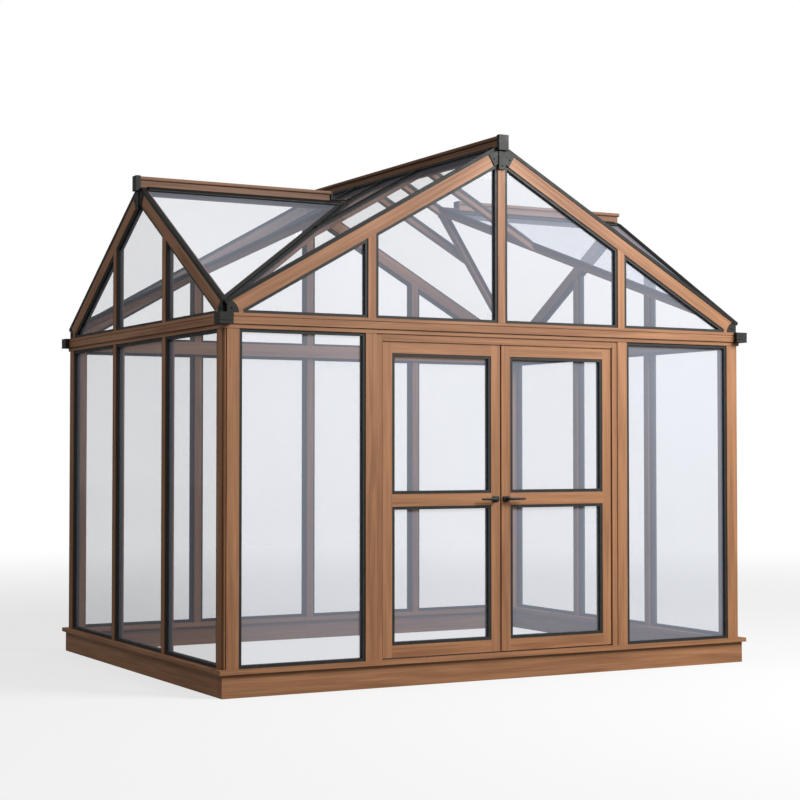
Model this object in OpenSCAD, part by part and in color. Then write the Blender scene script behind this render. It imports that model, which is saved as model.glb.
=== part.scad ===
// Timber-framed glass greenhouse with a front-to-back gable roof, a lower cross gable and double doors.
// Millimetres, +Z up, front towards -Y, origin on the ground in the middle of the plan.

/* [Plan] */
// Width over the plinth boards
plinth_w = 3600; // [3200:10:4400]
// Depth over the plinth boards
plinth_d = 2700; // [2300:10:3300]
// Set-back of the post faces behind the plinth face
post_inset = 10; // [4:1:40]

/* [Base] */
// Height of the plinth boards
plinth_h = 130; // [90:1:220]
// Thickness of the plinth boards
plinth_t = 80; // [50:1:95]
// Thickness of the sill on the plinth
sill_h = 25; // [18:1:45]
// Overhang of the sill beyond the plinth face
sill_over = 20; // [8:1:30]
// How far the sill reaches in past the posts
sill_in = 12; // [4:1:30]

/* [Wall frame] */
// Side of the square corner posts
post_s = 94; // [70:1:110]
// Side of the notch down the outer edge of a corner post
post_notch = 20; // [10:1:26]
// Height of the underside of the eave beams
eave_z = 2025; // [1900:5:2300]
// Face width of the wall mullions
mullion_w = 50; // [40:1:70]
// Depth of the wall mullions
mullion_t = 60; // [50:1:75]

/* [Eave beam] */
// Height of the plain strip under the eave board
strip_h = 21; // [14:1:32]
// Projection of the plain strip from the posts
strip_out = 3; // [1:1:10]
// Height of the eave board with its grooved top
board_h = 64; // [50:1:90]
// Projection of the eave board from the posts
board_out = 12; // [11:1:30]
// Height of the bead above the groove
bead_h = 17; // [10:1:24]
// Width and depth of the grooves
groove = 4; // [2:0.5:6]
// Side of the corner blocks in plan
block_s = 82; // [70:1:120]
// Projection of the corner blocks from the posts
block_out = 40; // [30:1:58]
// Height and depth of the line round a corner block
block_line = 3; // [2:0.5:5]

/* [Roof] */
// Rise of the main roof from the eave line to the ridge line
main_rise = 1012; // [850:1:1200]
// Rise of the cross roof from the eave line to its ridge line
side_rise = 817; // [650:1:850]
// Height of the roof line above the eave beam, at the post face
heel_h = 40; // [36:1:60]
// Depth of a rafter, square to the slope
rafter_d = 74; // [55:1:90]
// Radius of the rounded bracket at the foot of a rafter
lobe_r = 70; // [64:1:84]
// Thickness of the gable frames
gable_t = 52; // [46:1:60]
// Face width of the gable mullions
gable_bar_w = 50; // [40:1:64]
// Width of the jack rafters
jack_w = 50; // [40:1:64]
// Depth of the jack rafters, square to the slope
jack_d = 28; // [24:1:60]
// Width of the valley rafters
valley_w = 28; // [24:1:60]
// Depth of the valley rafters below the valley line
valley_d = 28; // [24:1:90]

/* [Ridge] */
// Width of the ridge beams
ridge_w = 44; // [36:1:56]
// Height of the ridge beams above the ridge line
ridge_up = 46; // [40:1:80]
// Thickness of the ridge cap
cap_h = 24; // [18:1:34]
// Overhang of the ridge cap on each side
cap_over = 10; // [6:1:16]
// Length of the cross ridge that lies low in front of the main slope
saddle_run = 140; // [110:1:180]

/* [Apex brackets] */
// Thickness of the bracket plates
plate_t = 6; // [3:0.5:8]
// Length of a wing along the rafter
wing_l = 100; // [80:1:140]
// Width of the centre strap
strap_w = 46; // [38:1:49]
// Drop of the centre strap below the ridge line
strap_drop = 132; // [110:1:160]
// Depth of the block that closes the end of a ridge
end_block = 30; // [18:1:38]

/* [Glazing] */
// Thickness of the glass
glass_t = 6; // [4:0.5:8]
// Face width of the wall gaskets
gasket_w = 18; // [14:0.5:24]
// Depth of the wall gaskets
gasket_d = 38; // [24:1:40]
// Set-back of the gaskets behind the posts
recess = 5; // [3:0.5:6]
// Distance from the gasket's edge to the edge of the glass
glass_seat = 8; // [5:0.5:10]
// Face width of the roof gaskets
roof_gasket_w = 26; // [22:1:44]
// Depth of the roof gaskets
roof_gasket_d = 18; // [14:1:26]
// Gap between a roof gasket and the valley line
valley_gap = 12; // [9:1:20]
// Gap between roof gaskets that meet over a rafter
seam = 4; // [2:0.5:8]
// Bedding gap between pieces that meet on a slope
bed = 0.1; // [0.05:0.05:0.3]

/* [Doors] */
// Width of one door leaf
leaf_w = 792; // [700:1:820]
// Thickness of a door leaf
leaf_t = 44; // [38:1:50]
// Set-back of the leaves behind the posts
leaf_inset = 13; // [8:1:18]
// Gap between a leaf and its jamb
side_gap = 6; // [5:0.5:9]
// Gap between the two leaves
meet_gap = 10; // [8:0.5:12]
// Gap between a leaf and the sill
foot_gap = 8; // [6:0.5:12]
// Gap between a leaf and the head
head_gap = 6; // [5:0.5:9]
// Width of the fixed post part of a door jamb
jamb_post_w = 70; // [60:1:90]
// Width of the stepped part of a door jamb
jamb_step_w = 39; // [30:1:50]
// Depth of the step in a door jamb
jamb_step = 5; // [3:0.5:8]
// Height of the head board over the doors
head_h = 35; // [25:1:60]
// Width of a door stile
stile_w = 62; // [58:1:85]
// Height of a door's top and bottom rails
rail_h = 70; // [60:1:95]
// Height of a door's middle rail
mid_rail_h = 72; // [60:1:95]
// Height of the middle of the middle rail above the ground
lock_z = 1065; // [950:5:1150]

/* [Door furniture] */
// Diameter of the lever spindle
spindle_d = 10; // [8:0.5:12]
// Diameter of the bore for the spindle in the stile
spindle_bore = 14; // [13:0.5:18]
// Diameter of the lever's neck
neck_d = 16; // [14:0.5:20]
// Running gap round a neck or a pin
fit = 0.1; // [0.05:0.01:0.1]
// Height of the lever's bar at its root
lever_root_h = 19; // [18:0.5:24]
// Height of the lever's bar at its tip
lever_tip_h = 11; // [8:0.5:16]
// Thickness of the lever's bar
lever_t = 12; // [8:0.5:14]
// Length of the lever from its axis to the end of its tip
lever_l = 118; // [90:1:130]
// Stand-off of the lever's bar from the door
lever_off = 30; // [24:1:34]
// Width of a rose
rose_w = 46; // [40:1:56]
// Height of a rose
rose_h = 34; // [30:1:44]
// Thickness of a rose
rose_t = 8; // [5:0.5:10]
// Diameter of a hinge knuckle
knuckle_d = 12; // [10:0.5:14]
// Height of one of a hinge's three knuckles
knuckle_h = 26; // [20:1:34]
// Diameter of a hinge pin
pin_d = 6; // [5:0.5:7]
// Thickness of a hinge plate
hinge_t = 3; // [2:0.5:4]
// Width of a hinge plate
hinge_w = 34; // [26:1:44]

/* [Hidden] */
$fn = 48;
wood = "#9a6f4d";
dark_metal = "#35352f";
rubber = "#1f1f1c";
clear = "#c9d6da66";

// Faces of the timber frame and heights of its stages.
half_w = plinth_w / 2 - post_inset;
half_d = plinth_d / 2 - post_inset;
floor_z = plinth_h + sill_h;
board_z = eave_z + strip_h;
eave_top = board_z + board_h;
heel_z = eave_top + heel_h;
glass_in = recess + gasket_d;

// Bays: quarter points on the front and back, third points on the sides.
quarter = (half_w - post_s / 2) / 2;
third = (half_d - post_s / 2) / 3;
big = 2 * (plinth_w + plinth_d);

// Roof slopes. A gable is described by [half span, rise].
MAIN = [half_w, main_rise];
SIDE = [half_d, side_rise];
function slope(g) = g[1] / g[0];
function pitch(g) = atan(slope(g));
function plumb_d(g) = rafter_d / cos(pitch(g));
function roof_z(g, u) = heel_z + (g[0] - u) * slope(g);
function under_z(g, u) = roof_z(g, u) - plumb_d(g);
function ridge_z(g) = roof_z(g, 0);
function ridge_foot(g) = under_z(g, ridge_w / 2);
function beam_foot(g) = roof_z(g, ridge_w / 2) - jack_d / cos(pitch(g));

// Foot of a rafter: a level seat on the eave beam, scribed round the lobe of the foot bracket.
shoe_gap = 1;
shoe_toe = 24;
lobe_steps = 8;
function lobe_points(g, gap) =
  let (r = lobe_r + gap)
  arc_points([g[0] - post_notch, eave_top], r, 180 - acos((gable_t + gap - post_notch) / r), 180, lobe_steps);
function plumb_cut(g, gap) = [g[0] - gable_t - gap, roof_z(g, g[0] - gable_t - gap)];
function foot_toe(g) = g[0] - post_notch - lobe_r - shoe_gap - shoe_toe;

// Plan of the valleys: they run from a corner of the frame to the foot of the main slope's saddle.
saddle_x = half_w - side_rise / slope(MAIN);
valley_run = [half_w - saddle_x, half_d];
valley_turn = atan2(valley_run.y, valley_run.x);
valley_pitch = atan2(side_rise, norm(valley_run));
function valley_x(y) = half_w - (half_d - y) * slope(SIDE) / slope(MAIN);
low_end = saddle_x + saddle_run;
low_up = 14;

// Doors.
opening_w = 2 * leaf_w + 2 * side_gap + meet_gap;
head_z = eave_z - head_h;
leaf_z = floor_z + foot_gap;
leaf_top = head_z - head_gap;
leaf_front = half_d - leaf_inset;
leaf_back = leaf_front - leaf_t;
jamb_w = jamb_post_w + jamb_step_w;
jamb_out = opening_w / 2 + jamb_w;
leaf_x = opening_w / 2 - side_gap;
stile_hinge_x = leaf_x - stile_w;
stile_meet_x = meet_gap / 2 + stile_w;
mid_low = lock_z - mid_rail_h / 2;
mid_high = lock_z + mid_rail_h / 2;
lever_x = meet_gap / 2 + stile_w / 2;
hinge_x = opening_w / 2 - side_gap / 2;
knuckle_gap = 0.5;
hinge_y = leaf_back - knuckle_d / 2 - knuckle_gap;
hinge_zs = [leaf_z + 200, lock_z, leaf_top - 200];

// Polygon with each edge moved inwards by its own distance; points run counter-clockwise.
function moved_edge(p, q, d) =
  let (v = q - p)
  [p + [-v.y, v.x] / norm(v) * d, v];
function crossing(a, b) = a[0] + a[1] * cross(b[0] - a[0], b[1]) / cross(a[1], b[1]);
function inset_by(pts, ds) =
  let (n = len(pts))
  let (edges = [for (i = [0 : n - 1]) moved_edge(pts[i], pts[(i + 1) % n], ds[i])])
  [for (i = [0 : n - 1]) crossing(edges[(i + n - 1) % n], edges[i])];
function inset(pts, d) = inset_by(pts, [for (p = pts) d]);
function box_points(x0, x1, y0, y1) = [[x0, y0], [x1, y0], [x1, y1], [x0, y1]];
function arc_points(c, r, a0, a1, n) = [for (i = [0 : n]) let (a = a0 + (a1 - a0) * i / n) c + r * [cos(a), sin(a)]];

// Placement helpers. A drawing in x and z is raised outwards from its wall.
module left_and_right() {
  children();
  mirror([1, 0, 0])
    children();
}
module front_and_back() {
  children();
  mirror([0, 1, 0])
    children();
}
module on_front(y) {
  translate([0, -y, 0])
    rotate([90, 0, 0])
      children();
}
module on_right(x) {
  translate([x, 0, 0])
    rotate([90, 0, 90])
      children();
}
module on_main_slope() {
  translate([-half_w, 0, heel_z])
    rotate([0, -pitch(MAIN), 0])
      children();
}
module on_cross_slope() {
  translate([0, -half_d, heel_z])
    rotate([pitch(SIDE), 0, 0])
      children();
}
module block(x0, x1, y0, y1, z0, z1) {
  translate([x0, y0, z0])
    cube([x1 - x0, y1 - y0, z1 - z0]);
}

// Base.
module front_plinth() {
  color(wood)
    block(-plinth_w / 2, plinth_w / 2, -plinth_d / 2, -plinth_d / 2 + plinth_t, 0, plinth_h);
}
module back_plinth() {
  mirror([0, 1, 0])
    front_plinth();
}
module side_plinths() {
  inner = plinth_d / 2 - plinth_t;
  color(wood)
    left_and_right()
      block(plinth_w / 2 - plinth_t, plinth_w / 2, -inner, inner, 0, plinth_h);
}
sill_x = plinth_w / 2 + sill_over;
sill_y = plinth_d / 2 + sill_over;
sill_inner_x = half_w - post_s - sill_in;
sill_inner_y = half_d - post_s - sill_in;
module front_sill() {
  color(wood)
    block(-sill_x, sill_x, -sill_y, -sill_inner_y, plinth_h, floor_z);
}
module back_sill() {
  mirror([0, 1, 0])
    front_sill();
}
module side_sills() {
  color(wood)
    left_and_right()
      block(sill_inner_x, sill_x, -sill_inner_y, sill_inner_y, plinth_h, floor_z);
}

// Wall frame.
// Corner post: notched down its outer edge, with a bead standing in the notch.
bead_r = 0.45 * post_notch;
bead_in = 0.7 * post_notch;
module corner_notch(z0, z1) {
  block(half_w - post_notch, half_w + 1, -half_d - 1, -half_d + post_notch, z0, z1);
}
module corner_posts() {
  color(wood)
    front_and_back()
      left_and_right()
        union() {
          difference() {
            block(half_w - post_s, half_w, -half_d, -half_d + post_s, floor_z, eave_z);
            corner_notch(floor_z - 1, eave_z + 1);
          }
          translate([half_w - bead_in, -half_d + bead_in, floor_z])
            cylinder(r = bead_r, h = eave_z - floor_z);
        }
}
module side_wall_mullions() {
  color(wood)
    left_and_right()
      for (y = [-third, third])
        block(half_w - mullion_t, half_w, y - mullion_w / 2, y + mullion_w / 2, floor_z, eave_z);
}
module back_wall_mullions() {
  color(wood)
    for (x = [-quarter, 0, quarter])
      block(x - mullion_w / 2, x + mullion_w / 2, half_d - mullion_t, half_d, floor_z, eave_z);
}
module door_jambs() {
  step_x = opening_w / 2 + jamb_step_w;
  color(wood)
    left_and_right()
      translate([0, 0, floor_z])
        linear_extrude(eave_z - floor_z)
          polygon([
            [opening_w / 2, -half_d + jamb_step], [step_x, -half_d + jamb_step], [step_x, -half_d],
            [jamb_out, -half_d], [jamb_out, -leaf_back], [opening_w / 2, -leaf_back]
          ]);
}
module door_head() {
  color(wood)
    block(-opening_w / 2, opening_w / 2, -half_d + jamb_step, -leaf_back, head_z, eave_z);
}

// Eave beams: a moulded section, mitred at the corners and housed in the corner blocks.
function eave_section(face) = [
  [-face + post_s, eave_z], [-face + post_s, eave_top], [-face - board_out, eave_top],
  [-face - board_out, eave_top - bead_h], [-face - board_out + groove, eave_top - bead_h],
  [-face - board_out + groove, eave_top - bead_h - groove], [-face - board_out, eave_top - bead_h - groove],
  [-face - board_out, board_z + groove], [-face - strip_out + groove, board_z + groove],
  [-face - strip_out + groove, board_z], [-face - strip_out, board_z], [-face - strip_out, eave_z]
];
// Half of a corner cut away along its mitre: side 1 trims a front beam, side -1 a side beam.
module mitre_wedge(side) {
  r = 2 * post_s;
  s = 2 * r * side;
  translate([half_w, -half_d, 0])
    linear_extrude(2 * eave_top)
      polygon([[-r, r], [r, -r], [r + s, s - r], [s - r, r + s]]);
}
module corner_block(shy, z0, z1) {
  near_x = half_w + block_out;
  near_y = -half_d - block_out;
  block(near_x - block_s + shy, near_x - shy, near_y + shy, near_y + block_s - shy, z0, z1);
}
module front_eave_beam() {
  color(wood)
    difference() {
      rotate([90, 0, 90])
        linear_extrude(2 * half_w + 2 * strip_out, center = true)
          polygon(eave_section(half_d));
      left_and_right() {
        mitre_wedge(1);
        corner_block(0, board_z, eave_top);
      }
    }
}
module back_eave_beam() {
  mirror([0, 1, 0])
    front_eave_beam();
}
module side_eave_beams() {
  color(wood)
    left_and_right()
      difference() {
        mirror([1, 0, 0])
          rotate([90, 0, 0])
            linear_extrude(2 * half_d + 2 * strip_out, center = true)
              polygon(eave_section(half_w));
        front_and_back() {
          mitre_wedge(-1);
          corner_block(0, board_z, eave_top);
        }
      }
}
module eave_corner_blocks() {
  lip_z = board_z + bead_h;
  color(dark_metal)
    front_and_back()
      left_and_right()
        union() {
          corner_block(0, board_z, lip_z);
          corner_block(block_line, lip_z, lip_z + block_line);
          corner_block(0, lip_z + block_line, eave_top);
        }
}

// Gable frames: rafters between the ridge beam and the foot brackets, with mullions under them.
module rafter_outline(g) {
  toe = foot_toe(g);
  polygon(concat(
    [[ridge_w / 2, roof_z(g, ridge_w / 2)], [ridge_w / 2, ridge_foot(g)], [toe, under_z(g, toe)], [toe, eave_top]],
    [for (i = [lobe_steps : -1 : 0]) lobe_points(g, shoe_gap)[i]],
    [plumb_cut(g, shoe_gap)]));
}
module main_gable_rafters() {
  color(wood)
    front_and_back()
      left_and_right()
        on_front(half_d - gable_t)
          linear_extrude(gable_t)
            rafter_outline(MAIN);
}
module side_gable_rafters() {
  color(wood)
    front_and_back()
      left_and_right()
        on_right(half_w - gable_t)
          linear_extrude(gable_t)
            rafter_outline(SIDE);
}
function bar_point(g, u) = [u, under_z(g, abs(u)) - bed];
function bar_head(g, u) = [
  for (x = u == 0 ? [gable_bar_w, ridge_w, -ridge_w, -gable_bar_w] : [gable_bar_w, -gable_bar_w])
    bar_point(g, u + x / 2)
];
module gable_bar(g, u) {
  linear_extrude(gable_t)
    polygon(concat([[u - gable_bar_w / 2, eave_top], [u + gable_bar_w / 2, eave_top]], bar_head(g, u)));
}
module main_gable_mullions() {
  color(wood)
    front_and_back() {
      on_front(half_d - gable_t)
        gable_bar(MAIN, 0);
      left_and_right()
        on_front(half_d - gable_t)
          gable_bar(MAIN, quarter);
    }
}
module side_gable_mullions() {
  color(wood)
    front_and_back()
      left_and_right()
        on_right(half_w - gable_t)
          gable_bar(SIDE, third);
}

// Foot bracket: one corner casting with a rounded lobe on each face, where the rafters end.
function shoe_points(g) = concat([[g[0], eave_top], [g[0], heel_z], plumb_cut(g, 0)], lobe_points(g, 0));
module rafter_foot_brackets() {
  color(dark_metal)
    front_and_back()
      left_and_right()
        difference() {
          union() {
            on_front(half_d - gable_t)
              linear_extrude(gable_t)
                polygon(shoe_points(MAIN));
            mirror([0, 1, 0])
              on_right(half_w - gable_t)
                linear_extrude(gable_t)
                  polygon(shoe_points(SIDE));
          }
          corner_notch(eave_top - 1, heel_z + heel_h);
        }
}

// Apex bracket: wings over the rafter ends, a strap down the middle and a block over the ridge's end.
function cap_top(g) = ridge_z(g) + ridge_up + cap_h;
block_rim = 4;
module apex_bracket(g, closes_ridge) {
  a = pitch(g);
  low = [wing_l * cos(a) - rafter_d * sin(a), ridge_z(g) - wing_l * sin(a) - rafter_d * cos(a)];
  high = [wing_l * cos(a), ridge_z(g) - wing_l * sin(a)];
  linear_extrude(plate_t)
    polygon([
      [0, ridge_z(g) - plumb_d(g)], low, high, [0, ridge_z(g)],
      [-high.x, high.y], [-low.x, low.y]
    ]);
  linear_extrude(2 * plate_t)
    polygon(box_points(-strap_w / 2, strap_w / 2, ridge_z(g) - strap_drop, ridge_z(g) - strap_w / 2 * slope(g)));
  if (closes_ridge)
    linear_extrude(end_block)
      polygon(box_points(
        -cap_w / 2 - 1, cap_w / 2 + 1, ridge_z(g) - cap_w / 2 * slope(g), cap_top(g) + block_rim));
}
module apex_brackets() {
  color(dark_metal) {
    front_and_back()
      on_front(half_d)
        apex_bracket(MAIN, true);
    mirror([1, 0, 0])
      on_right(half_w)
        apex_bracket(SIDE, true);
    on_right(half_w)
      apex_bracket(SIDE, false);
  }
}

// Ridges.
cap_w = ridge_w + 2 * cap_over;
cap_round = 8;
module main_ridge_beam() {
  color(wood)
    difference() {
      block(-ridge_w / 2, ridge_w / 2, -half_d, half_d, ridge_foot(MAIN), ridge_z(MAIN) + ridge_up);
      block(-ridge_w, ridge_w, -half_d + gable_t, half_d - gable_t, 0, beam_foot(MAIN));
    }
}
// The nose of a side ridge beam is cut down to the main slope, where the valleys run past it.
module side_ridge_beams() {
  nose_x = valley_x(ridge_w / 2);
  color(wood)
    left_and_right()
      on_front(-ridge_w / 2)
        linear_extrude(ridge_w)
          polygon([
            [saddle_x, beam_foot(SIDE)], [half_w - gable_t, beam_foot(SIDE)], [half_w - gable_t, ridge_foot(SIDE)],
            [half_w, ridge_foot(SIDE)], [half_w, ridge_z(SIDE) + ridge_up],
            [low_end, ridge_z(SIDE) + ridge_up], [low_end, ridge_z(SIDE) + low_up],
            [nose_x, ridge_z(SIDE) + low_up], [nose_x, roof_z(MAIN, nose_x)], [saddle_x, ridge_z(SIDE)]
          ]);
}
module cap_section() {
  square([cap_w - 2 * cap_round, cap_h], center = true);
  square([cap_w, cap_h - 2 * cap_round], center = true);
  for (x = [-1, 1])
    for (y = [-1, 1])
      translate([x * (cap_w / 2 - cap_round), y * (cap_h / 2 - cap_round)])
        circle(cap_round);
}
module ridge_caps() {
  color(wood) {
    translate([0, 0, ridge_z(MAIN) + ridge_up + bed + cap_h / 2])
      rotate([90, 0, 0])
        linear_extrude(2 * (half_d - bed), center = true)
          cap_section();
    for (side = [-1, 1])
      translate([side * low_end, 0, ridge_z(SIDE) + ridge_up + bed + cap_h / 2])
        rotate([90, 0, 90 * side])
          linear_extrude(half_w - low_end + (side > 0 ? cap_over : -bed))
            cap_section();
  }
}
// Saddle bracket: an angle that closes the low end of a cross ridge and lies on it down to the main slope.
module saddle_brackets() {
  foot_z = ridge_z(SIDE) + low_up;
  toe = half_w - (foot_z - roof_gasket_d / cos(pitch(MAIN)) - heel_z) / slope(MAIN) + plate_t;
  color(dark_metal)
    left_and_right()
      on_front(-cap_w / 2)
        linear_extrude(cap_w)
          polygon([
            [toe, foot_z], [low_end, foot_z], [low_end, cap_top(SIDE)], [low_end - 2 * plate_t, cap_top(SIDE)],
            [low_end - 2 * plate_t, foot_z + plate_t], [toe, foot_z + plate_t]
          ]);
}

// Roof timbers under the glazing.
module above_roof() {
  intersection() {
    on_main_slope()
      translate([-big / 2, -big / 2, 0])
        cube(big);
    on_cross_slope()
      translate([-big / 2, -big / 2, 0])
        cube(big);
  }
}
module valley_rafters() {
  crown = valley_w;
  color(wood)
    front_and_back()
      left_and_right()
        difference() {
          translate([-half_w, -half_d, heel_z])
            rotate([0, -valley_pitch, valley_turn])
              translate([0, -valley_w / 2, -valley_d])
                cube([norm(valley_run) / cos(valley_pitch) + valley_d, valley_w, valley_d + crown]);
          above_roof();
          block(-big, -half_w + gable_t, -big, big, 0, big);
          block(-big, big, -big, -half_d + gable_t, 0, big);
          block(-big, big, -ridge_w / 2, big, 0, big);
          block(-big, big, -big, big, 0, eave_top);
        }
}
module jack_rafter(y) {
  difference() {
    on_main_slope()
      translate([0, y - jack_w / 2, -jack_d])
        cube([half_w / cos(pitch(MAIN)) + rafter_d, jack_w, jack_d]);
    block(-ridge_w / 2, big, -big, big, 0, big);
    translate([-half_w, -half_d, 0])
      rotate(valley_turn)
        block(-big, big, -valley_w / 2 - bed, big, 0, big);
  }
}
module saddle_rafter() {
  difference() {
    on_main_slope()
      translate([0, -ridge_w / 2, -jack_d])
        cube([half_w / cos(pitch(MAIN)) + rafter_d, ridge_w, jack_d]);
    block(-ridge_w / 2, big, -big, big, 0, big);
    block(-big, bed - saddle_x, -big, big, 0, big);
  }
}
module jack_rafters() {
  color(wood)
    left_and_right() {
      front_and_back()
        jack_rafter(-third);
      saddle_rafter();
    }
}

// Glazing: a pane seated in the groove of the gasket round it.
// A pane is [outline of the opening, outline that the sight edge follows].
module pane(p, depth, seat) {
  translate([0, 0, (depth - glass_t) / 2])
    linear_extrude(glass_t)
      polygon(inset(p[0], seat));
}
module gasket(p, width, depth, seat) {
  difference() {
    linear_extrude(depth)
      polygon(inset(p[0], bed));
    translate([0, 0, -1])
      linear_extrude(depth + 2)
        polygon(inset(p[1], width));
    pane(p, depth, seat);
  }
}
module wall_pane(p) {
  pane(p, gasket_d, glass_seat);
}
module wall_gasket(p) {
  gasket(p, gasket_w, gasket_d, glass_seat);
}
function plain(points) = [points, points];

// Openings of the walls, from the middle outwards.
FRONT_BAY = plain(box_points(jamb_out, half_w - post_s, floor_z, eave_z));
BACK_BAYS = [
  plain(box_points(mullion_w / 2, quarter - mullion_w / 2, floor_z, eave_z)),
  plain(box_points(quarter + mullion_w / 2, half_w - post_s, floor_z, eave_z))
];
SIDE_MID_BAY = plain(box_points(-third + mullion_w / 2, third - mullion_w / 2, floor_z, eave_z));
SIDE_END_BAY = plain(box_points(third + mullion_w / 2, half_d - post_s, floor_z, eave_z));

// Openings of the gables. The outermost one is a triangle with its tip cut off by the rafter's seat.
function gable_tip(g) = g[0] - (eave_top + plumb_d(g) - heel_z) / slope(g);
function gable_corner(g, u) =
  let (toe = foot_toe(g))
  [
    [[u, eave_top], [toe, eave_top], [toe, under_z(g, toe)], [u, under_z(g, u)]],
    [[u, eave_top], [gable_tip(g), eave_top], [u, under_z(g, u)]]
  ];
MAIN_INNER = plain([
  [gable_bar_w / 2, eave_top], [quarter - gable_bar_w / 2, eave_top],
  [quarter - gable_bar_w / 2, under_z(MAIN, quarter - gable_bar_w / 2)],
  [gable_bar_w / 2, under_z(MAIN, gable_bar_w / 2)]
]);
MAIN_OUTER = gable_corner(MAIN, quarter + gable_bar_w / 2);
SIDE_OUTER = gable_corner(SIDE, third + gable_bar_w / 2);
side_mid_x = third - gable_bar_w / 2;
SIDE_MID = plain([
  [-side_mid_x, eave_top], [side_mid_x, eave_top], [side_mid_x, under_z(SIDE, side_mid_x)],
  [ridge_w / 2, ridge_foot(SIDE)], [-ridge_w / 2, ridge_foot(SIDE)], [-side_mid_x, under_z(SIDE, side_mid_x)]
]);

module front_wall_glass() {
  color(clear)
    left_and_right()
      on_front(half_d - glass_in)
        wall_pane(FRONT_BAY);
}
module back_wall_glass() {
  color(clear)
    left_and_right()
      mirror([0, 1, 0])
        on_front(half_d - glass_in)
          for (p = BACK_BAYS)
            wall_pane(p);
}
module side_wall_glass() {
  color(clear)
    left_and_right() {
      on_right(half_w - glass_in)
        wall_pane(SIDE_MID_BAY);
      front_and_back()
        on_right(half_w - glass_in)
          wall_pane(SIDE_END_BAY);
    }
}
module main_gable_glass() {
  color(clear)
    front_and_back()
      left_and_right()
        on_front(half_d - glass_in)
          for (p = [MAIN_INNER, MAIN_OUTER])
            wall_pane(p);
}
module side_gable_glass() {
  color(clear)
    left_and_right() {
      on_right(half_w - glass_in)
        wall_pane(SIDE_MID);
      front_and_back()
        on_right(half_w - glass_in)
          wall_pane(SIDE_OUTER);
    }
}
module wall_gaskets() {
  color(rubber)
    left_and_right() {
      on_front(half_d - glass_in)
        wall_gasket(FRONT_BAY);
      mirror([0, 1, 0])
        on_front(half_d - glass_in)
          for (p = BACK_BAYS)
            wall_gasket(p);
      on_right(half_w - glass_in)
        wall_gasket(SIDE_MID_BAY);
      front_and_back()
        on_right(half_w - glass_in)
          wall_gasket(SIDE_END_BAY);
    }
}
module main_gable_gaskets() {
  color(rubber)
    front_and_back()
      left_and_right()
        on_front(half_d - glass_in)
          for (p = [MAIN_INNER, MAIN_OUTER])
            wall_gasket(p);
}
module side_gable_gaskets() {
  color(rubber)
    left_and_right() {
      on_right(half_w - glass_in)
        wall_gasket(SIDE_MID);
      front_and_back()
        on_right(half_w - glass_in)
          wall_gasket(SIDE_OUTER);
    }
}

// Roof panes, drawn on the slopes. A main slope's front half has two, a cross slope has one.
roof_seat = roof_gasket_w / 3;
function main_point(x, y) = [(half_w - x) / cos(pitch(MAIN)), y];
function cross_point(x, y) = [x, (half_d + y) / cos(pitch(SIDE))];
MAIN_FRONT_PANE = plain(inset_by(
  [
    main_point(half_w, -half_d), main_point(ridge_w / 2, -half_d),
    main_point(ridge_w / 2, -third), main_point(valley_x(third), -third)
  ],
  [0, 0, seam / 2, valley_gap]));
MAIN_MID_PANE = plain(inset_by(
  [
    main_point(valley_x(third), -third), main_point(ridge_w / 2, -third),
    main_point(ridge_w / 2, 0), main_point(saddle_x, 0)
  ],
  [seam / 2, 0, seam / 2, valley_gap]));
CROSS_PANE = plain(inset_by(
  [cross_point(-half_w, -half_d), cross_point(-valley_x(ridge_w / 2), -ridge_w / 2), cross_point(-half_w, -ridge_w / 2)],
  [valley_gap, 0, 0]));
module main_roof_glass() {
  color(clear)
    front_and_back()
      left_and_right()
        on_main_slope()
          translate([0, 0, bed])
            for (p = [MAIN_FRONT_PANE, MAIN_MID_PANE])
              pane(p, roof_gasket_d, roof_seat);
}
module cross_roof_glass() {
  color(clear)
    front_and_back()
      left_and_right()
        on_cross_slope()
          translate([0, 0, bed])
            pane(CROSS_PANE, roof_gasket_d, roof_seat);
}
module main_roof_gaskets() {
  color(rubber)
    front_and_back()
      left_and_right()
        on_main_slope()
          translate([0, 0, bed])
            for (p = [MAIN_FRONT_PANE, MAIN_MID_PANE])
              gasket(p, roof_gasket_w, roof_gasket_d, roof_seat);
}
module cross_roof_gaskets() {
  color(rubber)
    front_and_back()
      left_and_right()
        on_cross_slope()
          translate([0, 0, bed])
            gasket(CROSS_PANE, roof_gasket_w, roof_gasket_d, roof_seat);
}

// Doors. One leaf is drawn on the right and mirrored for the left.
DOOR_PANES = [
  plain(box_points(stile_meet_x, stile_hinge_x, leaf_z + rail_h, mid_low)),
  plain(box_points(stile_meet_x, stile_hinge_x, mid_high, leaf_top - rail_h))
];
door_glass_y = leaf_back + (leaf_t - gasket_d) / 2;
module door_stiles() {
  color(wood) {
    block(stile_hinge_x, leaf_x, -leaf_front, -leaf_back, leaf_z, leaf_top);
    difference() {
      block(meet_gap / 2, stile_meet_x, -leaf_front, -leaf_back, leaf_z, leaf_top);
      translate([lever_x, -leaf_back + 1, lock_z])
        rotate([90, 0, 0])
          cylinder(d = spindle_bore, h = leaf_t + 2);
    }
  }
}
module door_rails() {
  color(wood)
    for (z = [[leaf_z, leaf_z + rail_h], [mid_low, mid_high], [leaf_top - rail_h, leaf_top]])
      block(stile_meet_x, stile_hinge_x, -leaf_front, -leaf_back, z[0], z[1]);
}
module door_glass() {
  color(clear)
    on_front(door_glass_y)
      for (p = DOOR_PANES)
        wall_pane(p);
}
module door_gaskets() {
  color(rubber)
    on_front(door_glass_y)
      for (p = DOOR_PANES)
        wall_gasket(p);
}
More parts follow.
